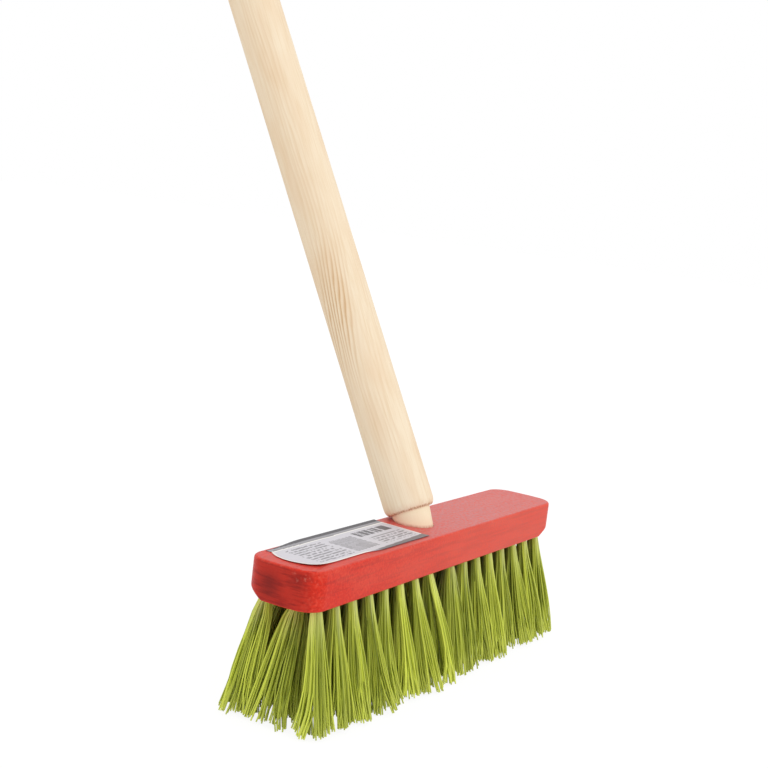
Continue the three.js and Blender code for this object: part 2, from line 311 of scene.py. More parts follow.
tenon_foot_radius = TENON_MOUTH + stick_foot * TENON_TAPER
shoulder_radius = stick_radius - SHOULDER_ROUND[0]
stick_profile = [
    (0, stick_foot),
    (tenon_foot_radius - TENON_CHAMFER, stick_foot),
    (tenon_foot_radius, stick_foot + TENON_CHAMFER),
    (shoulder_radius - SHOULDER_STEP, SHOULDER_AT),
]
stick_profile += arc((shoulder_radius, SHOULDER_AT + SHOULDER_ROUND[1]), SHOULDER_ROUND, -90, 0,
                     ROUND_STEPS)
stick_profile += arc((stick_radius - END_ROUND, stick_end - END_ROUND), (END_ROUND, END_ROUND), 0, 90,
                     ROUND_STEPS)
stick_profile.append((0, stick_end))

stick = spun("turned_stick", stick_profile, STICK_SIDES)
stick.matrix_world = Matrix.Translation(mouth) @ Matrix.Rotation(-stick_lean, 4, "X")
smooth_below(stick.data, CREASE)
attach(stick, "handle")
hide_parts("handle")
print("stick:", len(stick.data.polygons), "faces")

# %% [markdown]
# ## Raw softwood
#
# The stick is bare turned softwood: pale early wood, thin tan lines of late wood and very fine fibres,
# dry to the eye and hardly shiny. A picture of wood wrapped round the stick would show a seam, and its
# lines would not meet at the shoulder. So the wood is a solid: every point asks how far it lies from the
# heart of the tree, which ran almost along the stick, some way outside it. The tree had a crook, so for
# a stretch the rings turn across the stick, and where they only graze its surface they open out into
# long arches. The tenon was cut last, so it is paler, and the rim of the shoulder is rubbed dark.

# %% Rings of the tree
HEART_OFFSET = (19 * MM, -23 * MM, 0.0)
HEART_TILT = (math.radians(0.3), math.radians(-0.4), 0.0)
RING_WIDTH = 1.75 * MM
WANDER_SIZE = (8 * MM, 8 * MM, 80 * MM)
WANDER_REACH = 5.0 * MM
LATE_RISE = (0.25, 0.8)
LATE_FALL = (0.82, 1.0)
CROOK_STRETCH = (62 * MM, 160 * MM)
CROOK_TURN = math.radians(26)
ACROSS_ONLY = (1.0, 1.0, 0.0)


def stretched(tree, source, size):
    """Coordinates in which one unit is as long as the given size, in metres, on each axis."""
    return add(tree, "VectorMath", {0: source, 1: [1 / side for side in size]}, operation="MULTIPLY")[0]


raw_wood = bpy.data.materials.new("raw_turned_softwood")
tree = empty_tree(raw_wood)
place = add(tree, "TexCoord")["Object"]
along = add(tree, "SeparateXYZ", {0: place})["Z"]

# Distance from the heart, turned by the crook of the tree and moved by some wander
crook = add(tree, "MapRange", {0: along, FROM: CROOK_STRETCH, TO: (CROOK_TURN, -CROOK_TURN)},
            interpolation_type="SMOOTHSTEP")
bent = add(tree, "VectorRotate", {"Vector": place, "Angle": crook[0]}, rotation_type="Z_AXIS")
wander = add(tree, "TexNoise", {"Vector": stretched(tree, place, WANDER_SIZE), "Scale": 1.0, "Detail": 2.0})
from_heart = add(tree, "Mapping", {"Vector": bent[0], "Location": HEART_OFFSET, "Rotation": HEART_TILT})
across = add(tree, "VectorMath", {0: from_heart[0], 1: ACROSS_ONLY}, operation="MULTIPLY")
heart_distance = add(tree, "VectorMath", {0: across[0]}, operation="LENGTH")
ring_place = add(tree, "Math", {0: wander["Fac"], 1: WANDER_REACH, 2: heart_distance["Value"]},
                 operation="MULTIPLY_ADD")
ring_count = add(tree, "Math", {0: ring_place[0], 1: RING_WIDTH}, operation="DIVIDE")
ring_share = add(tree, "Math", {0: ring_count[0]}, operation="FRACT")
late_rise = add(tree, "MapRange", {0: ring_share[0], FROM: LATE_RISE}, interpolation_type="SMOOTHSTEP")
late_fall = add(tree, "MapRange", {0: ring_share[0], FROM: LATE_FALL, TO: (1.0, 0.0)})
late_line = add(tree, "Math", {0: late_rise[0], 1: late_fall[0]}, operation="MULTIPLY")
print("rings of", round(RING_WIDTH / MM, 2), "mm:", len(tree.nodes), "nodes")

# %% Arches, blush and fibres
ARCH_PLACE = 106 * MM
ARCH_REACH = 44 * MM
ARCH_SIDE = (-0.994, -0.112, 0.0)
ARCH_NARROW = (0.68, 0.97)
ARCH_LINES = 0.8
FADE_SIZE = (7 * MM, 7 * MM, 60 * MM)
FADE_NOISE = (0.35, 0.65)
FAINT_LINES = 0.2
HEART_SIDE = (30 * MM, 20 * MM)
HEART_BLUSH = 0.2
BLUSH_SIZE = (12 * MM, 12 * MM, 38 * MM)
BLUSH_NOISE = (0.42, 0.68)
BLUSH_PATCHES = 0.5
FIBRE_SIZE = (0.55 * MM, 0.55 * MM, 14 * MM)  # real fibres are finer, and drawn as thick as shows
FIBRE_NOISE = (0.45, 0.75)
FIBRE_LINES = 0.42

# The lines are strong in one stretch of one side, and elsewhere they come and go faintly
from_arch = add(tree, "Math", {0: along, 1: ARCH_PLACE}, operation="SUBTRACT")
arch_distance = add(tree, "Math", {0: from_arch[0]}, operation="ABSOLUTE")
in_arch = add(tree, "MapRange", {0: arch_distance[0], FROM: (ARCH_REACH, 0.0)},
              interpolation_type="SMOOTHSTEP")
heart_side = add(tree, "MapRange", {0: heart_distance["Value"], FROM: HEART_SIDE},
                 interpolation_type="SMOOTHSTEP")
outward = add(tree, "VectorMath", {0: bent[0], 1: ACROSS_ONLY}, operation="MULTIPLY")
bearing = add(tree, "VectorMath", {0: outward[0]}, operation="NORMALIZE")
toward_arch = add(tree, "VectorMath", {0: bearing[0], 1: ARCH_SIDE}, operation="DOT_PRODUCT")
arch_side = add(tree, "MapRange", {0: toward_arch["Value"], FROM: ARCH_NARROW},
                interpolation_type="SMOOTHSTEP")
arch = add(tree, "Math", {0: in_arch[0], 1: arch_side[0]}, operation="MULTIPLY")
fade = add(tree, "TexNoise", {"Vector": stretched(tree, place, FADE_SIZE), "Scale": 1.0, "Detail": 1.0})
faint = add(tree, "MapRange", {0: fade["Fac"], FROM: FADE_NOISE, TO: (0.0, FAINT_LINES)})
line_strength = add(tree, "Math", {0: arch[0], 1: ARCH_LINES, 2: faint[0]}, operation="MULTIPLY_ADD",
                    use_clamp=True)
late_amount = add(tree, "Math", {0: late_line[0], 1: line_strength[0]}, operation="MULTIPLY")

# Pinker wood near the heart and in patches, and fine fibres all over
blush = add(tree, "TexNoise", {"Vector": stretched(tree, place, BLUSH_SIZE), "Scale": 1.0, "Detail": 2.0})
blush_patch = add(tree, "MapRange", {0: blush["Fac"], FROM: BLUSH_NOISE, TO: (0.0, BLUSH_PATCHES)})
blush_amount = add(tree, "Math", {0: heart_side[0], 1: HEART_BLUSH, 2: blush_patch[0]},
                   operation="MULTIPLY_ADD", use_clamp=True)
fibre = add(tree, "TexNoise", {"Vector": stretched(tree, place, FIBRE_SIZE), "Scale": 1.0, "Detail": 3.0})
fibre_amount = add(tree, "MapRange", {0: fibre["Fac"], FROM: FIBRE_NOISE, TO: (0.0, FIBRE_LINES)})
print("with arches, blush and fibres:", len(tree.nodes), "nodes")

# %% Shoulder, tenon and the finished softwood
RIM_REACH = 0.9 * MM
RIM_NOISE = (0.4, 0.6)
RIM_FIBRES = (0.1, 0.8)
STAIN_REACH = 1.3 * MM
FRESH_CUT = 0.8
MOST_NOISE = (0.3, 0.7)  # nearly all values of a noise lie between these
WOOD_RELIEF = 0.1 * MM
WOOD_ROUGH = (0.55, 0.72)
WOOD_SHINE = 0.25
WOOD_IOR = 1.5
PALE_WOOD = "f9e7cb"
BLUSH_WOOD = "efd1ad"
LATE_WOOD = "d3aa7a"
FIBRE_WOOD = "e6c99e"
CUT_WOOD = "fff3d2"
RIM_WOOD = "b58a60"
STAIN_WOOD = "c9654c"

# The tenon is freshly cut, the rim of the shoulder is rubbed dark, and lacquer stains the tenon's foot
cut_amount = add(tree, "MapRange", {0: along, FROM: (SHOULDER_AT, SHOULDER_AT - RIM_REACH),
                                    TO: (0.0, FRESH_CUT)})
from_rim = add(tree, "Math", {0: along, 1: SHOULDER_AT + RIM_REACH / 3}, operation="SUBTRACT")
rim_distance = add(tree, "Math", {0: from_rim[0]}, operation="ABSOLUTE")
rim_line = add(tree, "MapRange", {0: rim_distance[0], FROM: (RIM_REACH, 0.0)},
               interpolation_type="SMOOTHSTEP")
rim_fibre = add(tree, "MapRange", {0: fibre["Fac"], FROM: RIM_NOISE, TO: RIM_FIBRES})
rim_amount = add(tree, "Math", {0: rim_line[0], 1: rim_fibre[0]}, operation="MULTIPLY")
block_upright = (0.0, -math.sin(stick_lean), math.cos(stick_lean))
above_block = add(tree, "VectorMath", {0: place, 1: block_upright}, operation="DOT_PRODUCT")
stain_line = add(tree, "MapRange", {0: above_block["Value"], FROM: (STAIN_REACH, 0.0)})
stain_amount = add(tree, "Math", {0: stain_line[0], 1: fibre["Fac"]}, operation="MULTIPLY")

# The colours go on one over the other, and the fibres also make the relief
wood_colour = linear(PALE_WOOD)
for amount, colour in ((blush_amount, BLUSH_WOOD), (late_amount, LATE_WOOD), (fibre_amount, FIBRE_WOOD),
                       (cut_amount, CUT_WOOD), (rim_amount, RIM_WOOD), (stain_amount, STAIN_WOOD)):
    wood_colour = add(tree, "Mix", {0: amount[0], UNDER: wood_colour, OVER: linear(colour)},
                      data_type="RGBA")[MIXED]
wood_relief = add(tree, "Bump", {"Height": fibre["Fac"], "Strength": 0.3, "Distance": WOOD_RELIEF})
wood_rough = add(tree, "MapRange", {0: fibre["Fac"], FROM: MOST_NOISE, TO: WOOD_ROUGH})
wood = add(tree, "BsdfPrincipled", {"Base Color": wood_colour, "Roughness": wood_rough[0], "IOR": WOOD_IOR,
                                    "Specular IOR Level": WOOD_SHINE, "Normal": wood_relief[0]})
add(tree, "OutputMaterial", {"Surface": wood[0]})
stick.data.materials.append(raw_wood)
print("raw softwood:", len(tree.nodes), "nodes")

# %% [markdown]
# ## The block's shape
#
# The block is sawn from a board: straight sides, ends that bow out a little, rounded corners, softened
# edges, and two opposite lower corners cut off at a slant. It could be one scaled box with a bevel, but
# then the bowed ends and the cuts would be lost. So its plan is drawn from arcs and pulled up to a
# board, its top edges are rounded, the two corners are cut off with a plane, and the lower edges are
# rounded last and least, as sandpaper leaves them. Then the socket and the tuft holes are bored out of it.

# %% Draw the block's plan
CORNER_RADIUS = 9.5 * MM
END_BOW = 1.5 * MM
PLAN_STEPS = 12

half_length = block_high.x
half_width = block_high.y


def block_plan():
    """The outline seen from above, anticlockwise: two corner arcs and a bowed end on each side."""
    end_radius = (half_width ** 2 + END_BOW ** 2) / (2 * END_BOW)
    end_centre = half_length - end_radius
    corner_y = half_width - CORNER_RADIUS
    corner_reach = math.sqrt((end_radius - CORNER_RADIUS) ** 2 - corner_y ** 2)
    turn = math.degrees(math.atan2(corner_y, corner_reach))
    corner = (CORNER_RADIUS, CORNER_RADIUS)
    half = arc((end_centre + corner_reach, -corner_y), corner, -90, -turn, PLAN_STEPS)[:-1]
    half += arc((end_centre, 0), (end_radius, end_radius), -turn, turn, PLAN_STEPS)[:-1]
    half += arc((end_centre + corner_reach, corner_y), corner, turn, 90, PLAN_STEPS)
    return half + [(-x, -y) for x, y in half]


print("plan:", len(block_plan()), "points")

# %% Pull the plan up to a board and round it
CORNER_CUT = Vector((15.0, 10.0, 6.8)) * MM
TOP_ROUND = 1.3 * MM
LOWER_ROUND = 1.0 * MM
TOP_STEPS = 5
LOWER_STEPS = 3
ROUND_PROFILE = 0.5
EDGE_ANGLE = math.radians(20)
CUT_TOLERANCE = 1e-7

board = bmesh.new()
lower = board.faces.new([board.verts.new((x, y, block_low.z)) for x, y in block_plan()])
raised = bmesh.ops.extrude_face_region(board, geom=[lower])["geom"]
upper_verts = [item for item in raised if isinstance(item, bmesh.types.BMVert)]
bmesh.ops.translate(board, verts=upper_verts, vec=(0, 0, block_high.z - block_low.z))
top_edges = [edge for edge in board.edges if all(vert in upper_verts for vert in edge.verts)]
bmesh.ops.recalc_face_normals(board, faces=board.faces)
bmesh.ops.bevel(board, geom=top_edges, offset=TOP_ROUND, offset_type="OFFSET", segments=TOP_STEPS,
                profile=ROUND_PROFILE, affect="EDGES")
for side in (-1, 1):
    everything = board.verts[:] + board.edges[:] + board.faces[:]
    cut = bmesh.ops.bisect_plane(
        board, geom=everything, dist=CUT_TOLERANCE, clear_outer=True,
        plane_co=(side * (half_length - CORNER_CUT.x), -side * half_width, block_low.z),
        plane_no=(side / CORNER_CUT.x, -side / CORNER_CUT.y, -1 / CORNER_CUT.z))
    cut_edges = [item for item in cut["geom_cut"] if isinstance(item, bmesh.types.BMEdge)]
    bmesh.ops.contextual_create(board, geom=cut_edges)
bmesh.ops.recalc_face_normals(board, faces=board.faces)
lower_edges = [edge for edge in board.edges if edge.calc_face_angle(0.0) > EDGE_ANGLE
               and max(vert.co.z for vert in edge.verts) < block_high.z - TOP_ROUND]
bmesh.ops.bevel(board, geom=lower_edges, offset=LOWER_ROUND, offset_type="OFFSET", segments=LOWER_STEPS,
                profile=ROUND_PROFILE, affect="EDGES")
block = placed("lacquered_block", mesh_from(board, "lacquered_block"))
print("board:", len(block.data.polygons), "faces")

# %% Find the tufts and make a boring tool
ROW_NAMES = ("front", "middle", "back")


def tuft_places(row):
    """A staple holds each tuft by its fold, so the staples of a row mark its tufts."""
    names = [name for name in sorted(frame["nodes"]) if name.startswith(f"staple_{row}_")]
    return [sum(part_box(name), Vector()) / 2 for name in names]


def bored(piece, cutter):
    """Takes a cutter's shape out of a piece and gives the hole the cutter's material."""
    step = piece.modifiers.new("bore", "BOOLEAN")
    step.object = cutter
    step.solver = "MANIFOLD"
    step.material_mode = "TRANSFER"
    ready = bpy.context.evaluated_depsgraph_get()
    mesh = bpy.data.meshes.new_from_object(piece.evaluated_get(ready))
    piece.modifiers.clear()
    piece.data = mesh
    bpy.data.objects.remove(cutter)


print("tufts in a row:", [len(tuft_places(row)) for row in ROW_NAMES])

# %% Bore the socket and the tuft holes
SOCKET_CLEARANCE = 0.15 * MM
SOCKET_OVERRUN = 8.0 * MM
HOLE_RADIUS = 2.5 * MM
HOLE_DEPTH = 9.6 * MM
HOLE_SIDES = 20

lacquer = bpy.data.materials.new("red_lacquer_on_wood")
bored_wood = bpy.data.materials.new("bored_bare_wood")
block.data.materials.append(lacquer)

socket_foot = stick_foot - SOCKET_CLEARANCE
socket_reach = [socket_foot, SOCKET_OVERRUN]
socket_radii = [TENON_MOUTH + SOCKET_CLEARANCE + at * TENON_TAPER for at in socket_reach]
socket = spun("socket_cutter", [(0, socket_reach[0]), (socket_radii[0], socket_reach[0]),
                                (socket_radii[1], socket_reach[1]), (0, socket_reach[1])], STICK_SIDES)
socket.matrix_world = stick.matrix_world
socket.data.materials.append(bored_wood)
bored(block, socket)

holes = bmesh.new()
for row in ROW_NAMES:
    for spot in tuft_places(row):
        middle = Matrix.Translation((spot.x, spot.y, block_low.z))
        bmesh.ops.create_cone(holes, cap_ends=True, segments=HOLE_SIDES, radius1=HOLE_RADIUS,
                              radius2=HOLE_RADIUS, depth=2 * HOLE_DEPTH, matrix=middle)
hole_cutter = placed("hole_cutter", mesh_from(holes, "hole_cutter"))
hole_cutter.data.materials.append(bored_wood)
bored(block, hole_cutter)
smooth_below(block.data, CREASE)
even_shading = block.modifiers.new("even_shading", "WEIGHTED_NORMAL")
even_shading.keep_sharp = True
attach(block, "head")
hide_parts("block")
hole_count = sum(len(tuft_places(row)) for row in ROW_NAMES)
print("bored block:", len(block.data.polygons), "faces,", hole_count, "holes")

# %% [markdown]
# ## Red lacquer on wood
#
# The block was dipped in a thin red lacquer, half glossy to the eye, and the wood still shows through:
# long darker streaks where the grain drank more of it, a speckle of thin spots and pores where it dried
# rough, and darker ends, because end grain drinks most. Towards the far end a painted sheen makes the
# colour paler, and the top gets dust in its pores together with a painted sheen. One end has a spot of
# painted shade. The edges have worn pale in spots, most at the corner that gets knocked. A picture of all
# this would stretch on the rounded edges, so it is built from noise in the solid. The streaks are stretched
# along the board, and on the ends they turn to dots by themselves, as real end grain does.

# %% Streaks, blotches and speckle
# Real pores are finer than the picture can show, so their speckle is drawn about a millimetre wide
STREAK_SIZE = (24 * MM, 1.4 * MM, 1.4 * MM)
BLOTCH_SIZE = (26 * MM, 8 * MM, 8 * MM)
SPECKLE_SIZE = 1.15 * MM
RED_LACQUER = "dd280f"
DEEP_LACQUER = "b4190d"
THIN_LACQUER = "e9614b"
# Stretch along the block over which a painted sheen pales the far end, and its strength
FAR_SHEEN_STRETCH = (-90 * MM, 20 * MM)
FAR_SHEEN_MOST = 0.45

tree = empty_tree(lacquer)
place = add(tree, "TexCoord")["Object"]
facing = add(tree, "SeparateXYZ", {0: add(tree, "NewGeometry")["Normal"]})
streak = add(tree, "TexNoise", {"Vector": stretched(tree, place, STREAK_SIZE), "Scale": 1.0, "Detail": 1.5})
blotch = add(tree, "TexNoise", {"Vector": stretched(tree, place, BLOTCH_SIZE), "Scale": 1.0, "Detail": 2.0})
speckle = add(tree, "TexNoise", {"Vector": place, "Scale": 1 / SPECKLE_SIZE, "Detail": 2.0})

# Each layer: its noise, where in that noise it begins and is full, how much shows at most, its colour
coat_layers = (
    (streak, (0.46, 0.68), 0.55, DEEP_LACQUER),
    (blotch, (0.42, 0.66), 0.22, THIN_LACQUER),
    (speckle, (0.45, 0.33), 0.4, DEEP_LACQUER),
    (speckle, (0.5, 0.66), 0.3, THIN_LACQUER),
)
coat_colour = linear(RED_LACQUER)
for noise, begins_and_full, most, colour in coat_layers:
    amount = add(tree, "MapRange", {0: noise["Fac"], FROM: begins_and_full, TO: (0.0, most)})
    coat_colour = add(tree, "Mix", {0: amount[0], UNDER: coat_colour, OVER: linear(colour)},
                      data_type="RGBA")[MIXED]
# A painted sheen makes the colour paler towards the far end
along = add(tree, "SeparateXYZ", {0: place})["X"]
far_share = add(tree, "MapRange", {0: along, FROM: FAR_SHEEN_STRETCH})
far_sheen_amount = add(tree, "Math", {0: far_share[0], 1: FAR_SHEEN_MOST}, operation="MULTIPLY")
coat_colour = add(tree, "Mix", {0: far_sheen_amount[0], UNDER: coat_colour, OVER: linear(THIN_LACQUER)},
                  data_type="RGBA")[MIXED]
print("streaks, blotches and speckle:", len(tree.nodes), "nodes")

# %% Dark ends, painted shade, and dust with a painted sheen on the top
END_FACING = (0.6, 1.0)
END_STREAK_SIZE = (5 * MM, 13 * MM, 1.5 * MM)
END_NOISE = (0.42, 0.6)
END_MOST = 0.85
END_LACQUER = "891109"
END_RED = "b82718"
# A spot of painted shade on the near end
SHADE_SPOT_PLACE = Vector((-112.5, 4.0, 59.0)) * MM
SHADE_SPOT_REACH = 9.0 * MM
SHADE_SPOT_MOST = 0.7
TOP_FACING = (0.75, 0.98)
# Dust with a painted sheen on the top
DUST_AND_SHEEN_SIZE = 1.4 * MM  # real dust is finer, and drawn as coarse as shows
DUST_AND_SHEEN_NOISE = (0.32, 0.58)
DUST_AND_SHEEN_SHARES = (0.1, 0.68)
DUST_AND_SHEEN_NEAR = 0.25
DUST_AND_SHEEN_STRETCH = (45 * MM, 112 * MM)
DUST_AND_SHEEN_LAST = 0.7

# The ends are darker, and one of them has a dark spot of painted shade
end_facing = add(tree, "Math", {0: facing["X"]}, operation="ABSOLUTE")
end_amount = add(tree, "MapRange", {0: end_facing[0], FROM: END_FACING, TO: (0.0, END_MOST)})
end_streak = add(tree, "TexNoise", {"Vector": stretched(tree, place, END_STREAK_SIZE), "Scale": 1.0,
                                    "Detail": 3.0})
end_tone = add(tree, "MapRange", {0: end_streak["Fac"], FROM: END_NOISE})
end_colour = add(tree, "Mix", {0: end_tone[0], UNDER: linear(END_LACQUER), OVER: linear(END_RED)},
                 data_type="RGBA")[MIXED]
from_shade_spot = add(tree, "VectorMath", {0: place, 1: SHADE_SPOT_PLACE}, operation="DISTANCE")
shade_spot_amount = add(tree, "MapRange", {0: from_shade_spot["Value"], FROM: (SHADE_SPOT_REACH, 0.0),
                                       TO: (0.0, SHADE_SPOT_MOST)}, interpolation_type="SMOOTHSTEP")

# The top gets dust in its pores and a painted sheen, more of both towards the far end and a little less at
# that end
top_facing = add(tree, "MapRange", {0: facing["Z"], FROM: TOP_FACING})
dust_and_sheen_grain = add(tree, "TexNoise", {"Vector": place, "Scale": 1 / DUST_AND_SHEEN_SIZE, "Detail": 2.0})
dust_and_sheen = add(tree, "MapRange", {0: dust_and_sheen_grain["Fac"], FROM: DUST_AND_SHEEN_NOISE, TO: DUST_AND_SHEEN_SHARES})
dust_and_sheen_share = add(tree, "Math", {0: far_share[0], 1: 1 - DUST_AND_SHEEN_NEAR, 2: DUST_AND_SHEEN_NEAR}, operation="MULTIPLY_ADD")
dust_and_sheen_left = add(tree, "MapRange", {0: along, FROM: DUST_AND_SHEEN_STRETCH, TO: (1.0, DUST_AND_SHEEN_LAST)})
dust_and_sheen_place = add(tree, "Math", {0: dust_and_sheen_share[0], 1: dust_and_sheen_left[0]}, operation="MULTIPLY")
far_top = add(tree, "Math", {0: top_facing[0], 1: dust_and_sheen_place[0]}, operation="MULTIPLY")
painted_light_amount = add(tree, "Math", {0: far_top[0], 1: dust_and_sheen[0]}, operation="MULTIPLY")
print("with ends and dust:", len(tree.nodes), "nodes")

# %% Wear, and the finished lacquer
EDGE_RISE = (0.1, 0.35)
EDGE_FALL = (0.8, 0.98)
EDGE_CHIPS = 0.15
CHIP_PLACE = Vector((-108.5, -13.0, 65.5)) * MM
CHIP_REACH = Vector((11.0, 11.0, 4.5)) * MM
NEAR_CHIPS = 0.8
CHIP_SIZE = 2.0 * MM
CHIP_NOISE = (0.54, 0.75)
CHIP_MOST = 0.9
GRAIN_RELIEF = 0.2 * MM
SPECKLE_RELIEF = 0.12 * MM
LACQUER_ROUGH = (0.34, 0.52)
LACQUER_SHINE = 0.22
LACQUER_IOR = 1.5
# Colours of the painted shade spot, of dust with a painted sheen, and of wear
SHADE_SPOT = "74110a"
DUST_AND_SHEEN_LACQUER = "c58283"
WORN_LACQUER = "eea08d"

# Pale chips along the rounded top edges, and a cluster of them at the corner that gets knocked
edge_rise = add(tree, "MapRange", {0: facing["Z"], FROM: EDGE_RISE}, interpolation_type="SMOOTHSTEP")
edge_fall = add(tree, "MapRange", {0: facing["Z"], FROM: EDGE_FALL, TO: (1.0, 0.0)},
                interpolation_type="SMOOTHSTEP")
edge = add(tree, "Math", {0: edge_rise[0], 1: edge_fall[0]}, operation="MULTIPLY")
chip_middle = [spot / reach for spot, reach in zip(CHIP_PLACE, CHIP_REACH)]
from_chips = add(tree, "VectorMath", {0: stretched(tree, place, CHIP_REACH), 1: chip_middle},
                 operation="DISTANCE")
near_chips = add(tree, "MapRange", {0: from_chips["Value"], FROM: (1.0, 0.0), TO: (0.0, NEAR_CHIPS)},
                 interpolation_type="SMOOTHSTEP")
chip_field = add(tree, "Math", {0: edge[0], 1: EDGE_CHIPS, 2: near_chips[0]}, operation="MULTIPLY_ADD",
                 use_clamp=True)
chip = add(tree, "TexNoise", {"Vector": place, "Scale": 1 / CHIP_SIZE, "Detail": 3.0})
chip_amount = add(tree, "MapRange", {0: chip["Fac"], FROM: CHIP_NOISE, TO: (0.0, CHIP_MOST)})
worn_amount = add(tree, "Math", {0: chip_field[0], 1: chip_amount[0]}, operation="MULTIPLY")

# The last layers of colour: dark ends, the spot of painted shade, dust with a painted sheen, and wear
for amount, colour in ((end_amount, end_colour), (shade_spot_amount, linear(SHADE_SPOT)),
                       (painted_light_amount, linear(DUST_AND_SHEEN_LACQUER)), (worn_amount, linear(WORN_LACQUER))):
    coat_colour = add(tree, "Mix", {0: amount[0], UNDER: coat_colour, OVER: colour},
                      data_type="RGBA")[MIXED]

# Grain and pores also make the relief, and thin spots are a little rougher
grain_relief = add(tree, "Bump", {"Height": streak["Fac"], "Strength": 0.25, "Distance": GRAIN_RELIEF})
speckle_relief = add(tree, "Bump", {"Height": speckle["Fac"], "Strength": 0.25, "Distance": SPECKLE_RELIEF,
                                    "Normal": grain_relief[0]})
lacquer_rough = add(tree, "MapRange", {0: speckle["Fac"], FROM: MOST_NOISE, TO: LACQUER_ROUGH})
coat = add(tree, "BsdfPrincipled", {"Base Color": coat_colour, "Roughness": lacquer_rough[0],
                                    "IOR": LACQUER_IOR, "Specular IOR Level": LACQUER_SHINE,
                                    "Normal": speckle_relief[0]})
add(tree, "OutputMaterial", {"Surface": coat[0]})
print("lacquer:", len(tree.nodes), "nodes")

# %% Bare wood in the bores
BORED_WOOD = "b98a5c"
BORE_ROUGH = 0.8

tree = empty_tree(bored_wood)
bore_noise = add(tree, "TexNoise", {"Vector": add(tree, "TexCoord")["Object"], "Scale": 1 / SPECKLE_SIZE})
bore_colour = add(tree, "Mix", {0: bore_noise["Fac"], UNDER: linear(BORED_WOOD), OVER: linear(LATE_WOOD)},
                  data_type="RGBA")[MIXED]
bore = add(tree, "BsdfPrincipled", {"Base Color": bore_colour, "Roughness": BORE_ROUGH, "IOR": WOOD_IOR})
add(tree, "OutputMaterial", {"Surface": bore[0]})
print("bored wood:", len(tree.nodes), "nodes")

# %% [markdown]
# ## The paper label
#
# A thin printed label lies on the left half of the top: a white panel with dark bands behind it and a
# dark wedge before it. It is smooth paper with a slight sheen. It lies flat up to the block's back edge,
# its left end bows out and has begun to lift, and so have its long edges a little. A flat box would look
# like a tile. So the sheet is a fine grid of points that are lifted one by one and then given the
# thickness of paper. The print is generic, plain bars, broken lines and a hatched square, and is stored
# at the grid's points as an amount of ink.

# %% Outline and lift of the label sheet
# Sizes of the label are plain millimetres from the solid label's left front corner
FRONT_EDGE = (1.5, -0.4)
FRONT_STEP = (32, 46)
BACK_EDGE = (28.8, 30.8)
BACK_STEP = (0, 26)
LIFT_REACH = 14.0
LIFT_HEIGHT = 0.8
EDGE_LIFT_REACH = 5.0
FRONT_LIFT = 0.3
BACK_LIFT = 0.15


def eased(value, step):
    """0 before a step, 1 after it, and a soft rise between its two places."""
    share = min(1.0, max(0.0, (value - step[0]) / (step[1] - step[0])))
    return share * share * (3 - 2 * share)


def sheet_edges(along):
    """Front and back edge of the sheet, in mm from the solid label's front, at a place in mm along it."""
    front = FRONT_EDGE[0] + (FRONT_EDGE[1] - FRONT_EDGE[0]) * eased(along, FRONT_STEP)
    return front, BACK_EDGE[0] + (BACK_EDGE[1] - BACK_EDGE[0]) * eased(along, BACK_STEP)


def sheet_lift(along, across, left):
    """How far the paper stands off the block: most at its left end, a little along front and back."""
    front, back = sheet_edges(along)
    near_left = max(0.0, 1 - (along - left) / LIFT_REACH)
    near_front = max(0.0, 1 - (across - front) / EDGE_LIFT_REACH)
    near_back = max(0.0, 1 - (back - across) / EDGE_LIFT_REACH)
    lift = LIFT_HEIGHT * near_left ** 2 * (1 - across / BACK_EDGE[1]) + FRONT_LIFT * near_front ** 2
    return lift + BACK_LIFT * near_back ** 2 * eased(along, BACK_STEP)


print("front and back edge at 60 mm along the sheet:", sheet_edges(60))

# %% Generic print
# A field is given by its two ends along the sheet and its two ends across it
BAR_FIELD = (54, 81, 17, 23)
HATCH_FIELD = (33, 51, 5, 21)
LINE_FIELD = (56, 82, 5, 15)
ROW_FIELD = (4, 30, 4, 24)
BAR_PITCH = 0.8
HATCH_PITCH = 1.3
LINE_PITCH = 1.1
BAR_GAPS = 0.35
LINE_GAPS = 0.25
BAR_TONE = 1.0
HATCH_TONE = 0.9
LINE_TONE = 0.75
PANEL_BACK = 26.0
BAND_LINE = 0.5
BAND_LINE_TONE = 0.75
BAND_TONE = 0.55
DARK_BAND = 28.2
WEDGE_START = 40
WEDGE_GROWTH = 0.05
WEDGE_STEP = (36, 46)
WEDGE_TONE = 0.8
PRINT_SEED = 52
PRINT_CELL = 1.2
PRINT_CELLS = (100, 40)

print_chance = np.random.default_rng(PRINT_SEED).random(PRINT_CELLS)


def within(field, along, across):
    """Whether a place on the sheet lies in a field of the print."""
    return field[0] < along < field[1] and field[2] < across < field[3]


def printed(along, across):
    """Amounts of grey ink and of dark band at a place on the sheet."""
    if across < FRONT_EDGE[0] + max(0.0, along - WEDGE_START) * WEDGE_GROWTH:
        return 0.0, WEDGE_TONE * eased(along, WEDGE_STEP)
    if across > DARK_BAND:
        return 0.0, 1.0
    if across > PANEL_BACK:
        return 0.0, BAND_LINE_TONE if across < PANEL_BACK + BAND_LINE else BAND_TONE
    on_bar = print_chance[int(along / BAR_PITCH) % PRINT_CELLS[0], 0] > BAR_GAPS
    if within(BAR_FIELD, along, across) and on_bar:
        return BAR_TONE, 0.0
    if within(HATCH_FIELD, along, across) and int((along + across) / HATCH_PITCH) % 2 == 0:
        return HATCH_TONE, 0.0
    fleck = print_chance[int(along / PRINT_CELL), int(across / PRINT_CELL)]
    on_line = int(across / LINE_PITCH) % 2 == 0 and fleck > LINE_GAPS
    if on_line and (within(LINE_FIELD, along, across) or within(ROW_FIELD, along, across)):
        return LINE_TONE, 0.0
    return 0.0, 0.0


print("ink and band in the dark wedge:", printed(60, 1), "and on the back band:", printed(60, 27))

